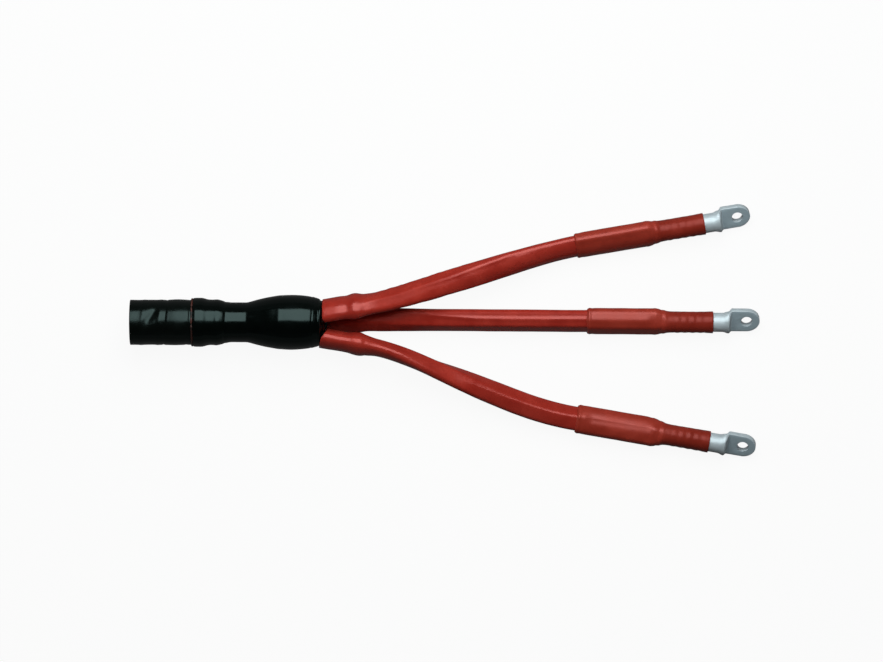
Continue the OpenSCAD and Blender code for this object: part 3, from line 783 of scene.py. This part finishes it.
def model_lug(name):
    """The lug in its own frame, lofted ring by ring from a circle, bored and punched."""
    rings = lug_rings()
    bpy.ops.mesh.primitive_circle_add(vertices=RING, radius=BARREL_R, fill_type="NOTHING")
    piece = bpy.context.object
    piece.name = name
    for vertex, point in zip(piece.data.vertices, rings[0]):
        vertex.co = point
    for ring in rings[1:]:
        take_up(piece)
        bpy.ops.object.mode_set(mode="EDIT")
        bpy.ops.mesh.extrude_region_move()
        bpy.ops.object.mode_set(mode="OBJECT")
        fresh = [v for v in piece.data.vertices if v.select]
        for vertex, point in zip(fresh, ring):
            vertex.co = point
    bpy.ops.object.mode_set(mode="EDIT")
    bpy.ops.mesh.edge_face_add()
    bpy.ops.mesh.select_all(action="SELECT")
    bpy.ops.mesh.select_non_manifold(extend=False)
    bpy.ops.mesh.edge_face_add()
    bpy.ops.mesh.select_all(action="SELECT")
    bpy.ops.mesh.normals_make_consistent(inside=False)
    bpy.ops.object.mode_set(mode="OBJECT")
    cuts = (((BORE_DEPTH / 2 - PUNCH_OVERRUN, 0, 0), (0, math.pi / 2, 0), BARREL_BORE_R,
             BORE_DEPTH + 2 * PUNCH_OVERRUN),
            ((HOLE_X, 0, PALM_MID), (0, 0, 0), HOLE_R, 2 * PALM_T))
    for place_at, turn, radius, depth in cuts:
        bpy.ops.object.select_all(action="DESELECT")
        bpy.ops.mesh.primitive_cylinder_add(vertices=PUNCH_SIDES, radius=radius, depth=depth,
                                            location=place_at, rotation=turn)
        punch = bpy.context.object
        run_modifier(piece, "BOOLEAN", operation="DIFFERENCE", object=punch, solver="EXACT")
        bpy.data.objects.remove(punch)
    run_modifier(piece, "BEVEL", width=EDGE_BEVEL, segments=3, limit_method="ANGLE",
                 angle_limit=BEVELLED_EDGE)
    # Marks the palm's upper face, which the material paints greyer and bluer as painted shade.
    palm_shade_mark = piece.data.attributes.new("palm_shade", "FLOAT", "FACE")
    for face, mark in zip(piece.data.polygons, palm_shade_mark.data):
        mark.value = float(face.normal.z > FLAT_FACING and face.center.x > BARREL_LENGTH + PALM_RAMP)
    return piece


# Tumbled aluminium: pale and a little blue, satin all over, with faint handling smudges. The palm's
# upper face is painted greyer and bluer: painted shade for the darker surroundings that it reflects.
lug_metal, tree, shader, place = new_material("tumbled_aluminium", Metallic=0.3)
smudge = add_node(tree, "ShaderNodeTexNoise", {"Vector": place, "Scale": per_mm(9), "Detail": 5.0})
spread = add_node(tree, "ShaderNodeMapRange", {"Value": smudge.outputs[0], "From Min": 0.3,
                                               "From Max": 0.7})
tint = add_node(tree, "ShaderNodeMix", {"Factor": spread.outputs[0], "A": linear("#ced2d7"),
                                        "B": linear("#dee2e7")}, data_type="RGBA")
# Painted shade: the palm's upper face turns a greyer blue.
palm_shade = add_node(tree, "ShaderNodeAttribute", attribute_name="palm_shade")
tint = add_node(tree, "ShaderNodeMix", {"Factor": palm_shade.outputs["Fac"], "A": tint.outputs["Result"],
                                        "B": linear("#c2ced6")}, data_type="RGBA")
rough = add_node(tree, "ShaderNodeMapRange", {"Value": smudge.outputs[0], "From Min": 0.3, "From Max": 0.7,
                                              "To Min": 0.44, "To Max": 0.54})
grain = add_node(tree, "ShaderNodeTexNoise", {"Vector": place, "Scale": per_mm(0.9), "Detail": 3.0})
bump = add_node(tree, "ShaderNodeBump", {"Strength": 0.15, "Distance": 0.1 * MM,
                                         "Height": grain.outputs[0]})
set_inputs(shader, {"Base Color": tint.outputs["Result"], "Roughness": rough.outputs[0],
                    "Normal": bump.outputs[0]})

mounts = {mount["name"]: mount for mount in frame["record"]["mounts"]}


def lug_frame(leg):
    """Matrix from the lug's own frame, in millimetres, to its place on a leg."""
    hole = mounts[leg + "_lug_hole"]
    bolt = Vector(hole["axis"]).normalized()
    along = Vector((-bolt.y, bolt.x, 0)).normalized()
    side = bolt.cross(along)
    turn = Matrix((along, side, bolt)).transposed()
    hole_at = Vector((HOLE_X, 0, PALM_MID)) * MM
    return Matrix.Translation(Vector(hole["pos_m"]) - turn @ hole_at) @ turn.to_4x4() @ Matrix.Scale(MM, 4)


master = model_lug("lug_master")
for leg in LEGS:
    lug = bpy.data.objects.new(leg + "_cable_lug", master.data.copy())
    bpy.context.scene.collection.objects.link(lug)
    lug.data.transform(lug_frame(leg))
    put_on(lug, lug_metal, "lug_aluminium", leg + "_lug")
bpy.data.objects.remove(master)


# Lug sealant
# Grey mastic that fills the neck between the core's insulation and the lug barrel, all of it
# shut in by the sleeve.
# Sealing mastic: a matt grey paste with soft clouds.
mastic, tree, shader, place = new_material("grey_sealing_mastic", Roughness=0.65, IOR=1.5)
cloud = add_node(tree, "ShaderNodeTexNoise", {"Vector": place, "Scale": per_mm(6), "Detail": 3.0})
tint = add_node(tree, "ShaderNodeMix", {"Factor": cloud.outputs[0], "A": linear("#777c74"),
                                        "B": linear("#969b92")}, data_type="RGBA")
set_inputs(shader, {"Base Color": tint.outputs["Result"]})
for leg in LEGS:
    dress(leg + "_lug_sealant", mastic)


# Lug sleeves
# Short thick-walled sleeves of a browner red, shrunk last over the tube's end and the lug. They
# step down at the tube's end, and the crimps show through the thin part as a row of dimples.
LONG_SPAN = 18 * MM
SPAN_CUTS = 5
SLEEVE_LUMP = 0.16 * MM
SLEEVE_WAVE = 15
# Ridge over the tube's end and the puckers beyond it, from the barrel's open end: place, height and
# half width in millimetres, and how far they sway round the sleeve
SHOULDER = ((-16.5, 0.35, 2.2), (-9.5, -0.5, 2.2), (-5.5, 0.2, 1.6))
SHOULDER_SWAY = 0.8
# Thickened lip at the sleeve's start, in the same way, from its rim
LIP = ((2.2, 0.5, 1.6), (6.0, -0.2, 2.0))
# Stretch of the lug, from its barrel's open end in millimetres, over which the dimples show
DIMPLES = (2, 47)
DIMPLE_FADE = 6
DIMPLE_PITCH = 8.9 * MM
DIMPLE_DEPTH = 0.2 * MM
# The dimples are deepest on every other flat of the crimp, and uneven along it
FLAT_MEAN = 0.6
FLAT_SWING = 0.4
FLAT_TURN = 0.93
UNEVEN = 0.9
UNEVEN_RUN = 11
UNEVEN_SLICE = 3
# Stretch ahead of the lug, in millimetres, over which the sleeve steps down and darkens
STEP_RUN = 8
# Crown of each sleeve over the core, and a hollow beside the lower one, given as the tubes' ridges
CROWNS = {"upper": ((1.2, 4.0, 4.0, ((285, 101.2), (308, 105.2), (331, 109), (354, 113.1), (385, 118.7))),),
          "middle": ((1.3, 5.0, 5.0, ((285, 11.4), (385, 10.8))),),
          "lower": ((1.5, 6.0, 6.0, ((285, -87.5), (320, -93.5), (354, -99.3), (385, -104))),
                    (-1.5, 5.0, 5.0, ((300, -100.8), (320, -104.1), (366, -111.6), (385, -115))))}
CROWN_FADE = 12


def sleeve_relief(leg):
    """Lumps, shoulder, lip, crown and crimp dimples of one leg's sleeve, as a height for press."""
    to_lug = lug_frame(leg).inverted()
    node = frame["nodes"][leg + "_lug_sleeve"]
    start = min((to_lug @ vertex.co).x for vertex in node.data.vertices)

    def relief(point, normal):
        local = to_lug @ point
        angle = math.atan2(local.y, local.z)
        height = SLEEVE_LUMP * noise.noise(point * per_mm(SLEEVE_WAVE))
        for at, tall, wide in SHOULDER:
            height += tall * MM * hump(local.x - at - SHOULDER_SWAY * math.sin(2 * angle), wide)
        for at, tall, wide in LIP:
            height += tall * MM * hump(local.x - start - at, wide)
        height += ridge_height(point, normal, CROWNS[leg], CROWN_FADE)
        shown = shaped((local.x - DIMPLES[0]) / DIMPLE_FADE) * shaped((DIMPLES[1] - local.x) / DIMPLE_FADE)
        facet = FLAT_MEAN + FLAT_SWING * math.cos(3 * (angle - FLAT_TURN))
        wave = math.cos(2 * math.pi * local.x * MM / DIMPLE_PITCH)
        uneven = 1 + UNEVEN * noise.noise(Vector((local.x / UNEVEN_RUN, angle, UNEVEN_SLICE)))
        return height + DIMPLE_DEPTH * shown * facet * wave * uneven

    return relief


# Thick-walled sleeve polyolefin: browner and duller than the tubes, and darker still over the
# lug.
sleeve_red, tree, shader, place = new_material("brick_red_polyolefin", IOR=1.5,
                                               Specular_Tint=linear(RED_SHEEN))
over_lug = add_node(tree, "ShaderNodeAttribute", attribute_name="over_lug")
gloss = add_node(tree, "ShaderNodeMapRange", {"Value": over_lug.outputs["Fac"], "To Min": 1.0,
                                              "To Max": 0.5})
slow = add_node(tree, "ShaderNodeTexNoise", {"Vector": place, "Scale": per_mm(18), "Detail": 4.0})
spread = add_node(tree, "ShaderNodeMapRange", {"Value": slow.outputs[0], "From Min": 0.32,
                                               "From Max": 0.68})
tint = add_node(tree, "ShaderNodeMix", {"Factor": spread.outputs[0], "A": linear("#9e3022"),
                                        "B": linear("#b03a2b")}, data_type="RGBA")
tint = add_node(tree, "ShaderNodeMix", {"Factor": over_lug.outputs["Fac"], "A": tint.outputs["Result"],
                                        "B": linear("#e2dcdc")}, data_type="RGBA", blend_type="MULTIPLY")
rough = add_node(tree, "ShaderNodeMapRange", {"Value": slow.outputs[0], "From Min": 0.3, "From Max": 0.7,
                                              "To Min": 0.3, "To Max": 0.4})
peel = add_node(tree, "ShaderNodeTexNoise", {"Vector": place, "Scale": per_mm(1.6), "Detail": 3.0})
bump = add_node(tree, "ShaderNodeBump", {"Strength": 0.2, "Distance": 0.15 * MM,
                                         "Height": peel.outputs[0]})
set_inputs(shader, {"Base Color": tint.outputs["Result"], "Roughness": rough.outputs[0],
                    "Normal": bump.outputs[0], "Specular IOR Level": gloss.outputs[0]})
for leg in LEGS:
    sleeve = copy_of(leg + "_lug_sleeve", leg + "_sleeve")
    to_quads(sleeve)
    bpy.ops.object.mode_set(mode="EDIT")
    select_edges(sleeve.data, lambda a, b: (a - b).length > LONG_SPAN)
    bpy.ops.mesh.subdivide(number_cuts=SPAN_CUTS)
    bpy.ops.object.mode_set(mode="OBJECT")
    crease_rims(sleeve)
    run_modifier(sleeve, "SUBSURF", levels=LEVELS, render_levels=LEVELS)
    press(sleeve, sleeve_relief(leg))
    to_lug = lug_frame(leg).inverted()
    mark_points(sleeve, "over_lug", lambda point: shaped(1 + (to_lug @ point).x / STEP_RUN))
    put_on(sleeve, sleeve_red, "sleeve_red", leg + "_lug_sleeve")


# Studio floor and backdrop
# A sweep of pale paper. To the camera it is white paper that keeps a soft shadow. It throws
# little light back, so that the undersides stay dark.
FLOOR_SIZE = 16.0
WALL_R = 7.5
WALL_HIGH = 3.0
PAPER_WHITE = 0.93
GLOSSY_SHARE = 0.1
# Studio paper: an even white with no gloss of its own.
paper, tree, shader, _ = new_material("pale_studio_paper", Base_Color=linear("#484544"), Roughness=0.95,
                                      Specular_IOR_Level=0.0, Emission_Color=linear("#ffffff"))
path = add_node(tree, "ShaderNodeLightPath")
seen = add_node(tree, "ShaderNodeMath", {0: path.outputs["Is Glossy Ray"], 1: GLOSSY_SHARE,
                                         2: path.outputs["Is Camera Ray"]}, operation="MULTIPLY_ADD")
seen = add_node(tree, "ShaderNodeMath", {0: seen.outputs[0], 1: path.outputs["Is Transmission Ray"]},
                operation="ADD", use_clamp=True)
glow = add_node(tree, "ShaderNodeMath", {0: seen.outputs[0], 1: PAPER_WHITE}, operation="MULTIPLY")
set_inputs(shader, {"Emission Strength": glow.outputs[0]})

bpy.ops.object.select_all(action="DESELECT")
bpy.ops.mesh.primitive_plane_add(size=FLOOR_SIZE)
floor = bpy.context.object
floor.name = "studio_floor"
bpy.ops.object.select_all(action="DESELECT")
bpy.ops.mesh.primitive_cylinder_add(vertices=96, radius=WALL_R, depth=WALL_HIGH, end_fill_type="NOTHING",
                                    location=(0, 0, WALL_HIGH / 2))
wall = bpy.context.object
wall.name = "studio_backdrop"
for stage in (floor, wall):
    stage.data.materials.append(paper)


# Studio light
# One large softbox leans in from the image's upper side, two side panels lift the general
# level without showing in the boot's gloss, and a dim card fills the near side.
COOL_LIGHT = (0.86, 0.99, 1.0)
AMBIENT = 0.015


def panel(name, aim_deg, turn_deg, distance, wide, tall, radiance):
    """A rectangular light that faces the object, aim_deg from overhead, turned round the vertical."""
    light = bpy.data.lights.new(name, "AREA")
    light.shape = "RECTANGLE"
    light.color = COOL_LIGHT
    light.size = wide
    light.size_y = tall
    light.energy = radiance * math.pi * wide * tall
    lamp = bpy.data.objects.new(name, light)
    bpy.context.scene.collection.objects.link(lamp)
    aim, turn = math.radians(aim_deg), math.radians(turn_deg)
    away = Vector((math.sin(aim) * math.sin(turn), math.sin(aim) * math.cos(turn), math.cos(aim)))
    lamp.location = away * distance
    lamp.rotation_euler = away.to_track_quat("Z", "Y").to_euler()


panel("softbox", aim_deg=32, turn_deg=0, distance=1.5, wide=1.14, tall=1.4, radiance=4.6)
panel("left_panel", aim_deg=66, turn_deg=-76, distance=1.7, wide=1.2, tall=1.2, radiance=0.6)
panel("right_panel", aim_deg=66, turn_deg=76, distance=1.7, wide=1.2, tall=1.2, radiance=0.6)
panel("near_card", aim_deg=66, turn_deg=180, distance=1.6, wide=2.0, tall=1.1, radiance=0.03)
world = bpy.data.worlds.new("studio")
bpy.context.scene.world = world
world.use_nodes = True
set_inputs(world.node_tree.nodes["Background"], {"Color": linear("#ffffff"), "Strength": AMBIENT})


# Camera
# Straight above, with the upper leg towards the top of the frame. A long lens from far up keeps
# the raised and the lying stretches at one scale.
FRAME_WIDE = 883
MM_PER_PIXEL = 1.15
LENS = 200
# Height at which that scale holds, and the middle of the view: past the crotch and below the cable
REFERENCE_Z = 25 * MM
VIEW_PAST = 137.4 * MM
VIEW_BELOW = 10.0 * MM
camera_data = bpy.data.cameras.new("camera")
camera_data.lens = LENS
camera = bpy.data.objects.new("camera", camera_data)
bpy.context.scene.collection.objects.link(camera)
height = LENS / camera_data.sensor_width * FRAME_WIDE * MM_PER_PIXEL * MM
camera.location = (CROTCH_X + VIEW_PAST, CABLE_Y - VIEW_BELOW, REFERENCE_Z + height)
bpy.context.scene.camera = camera
bpy.context.scene.view_settings.view_transform = "Standard"
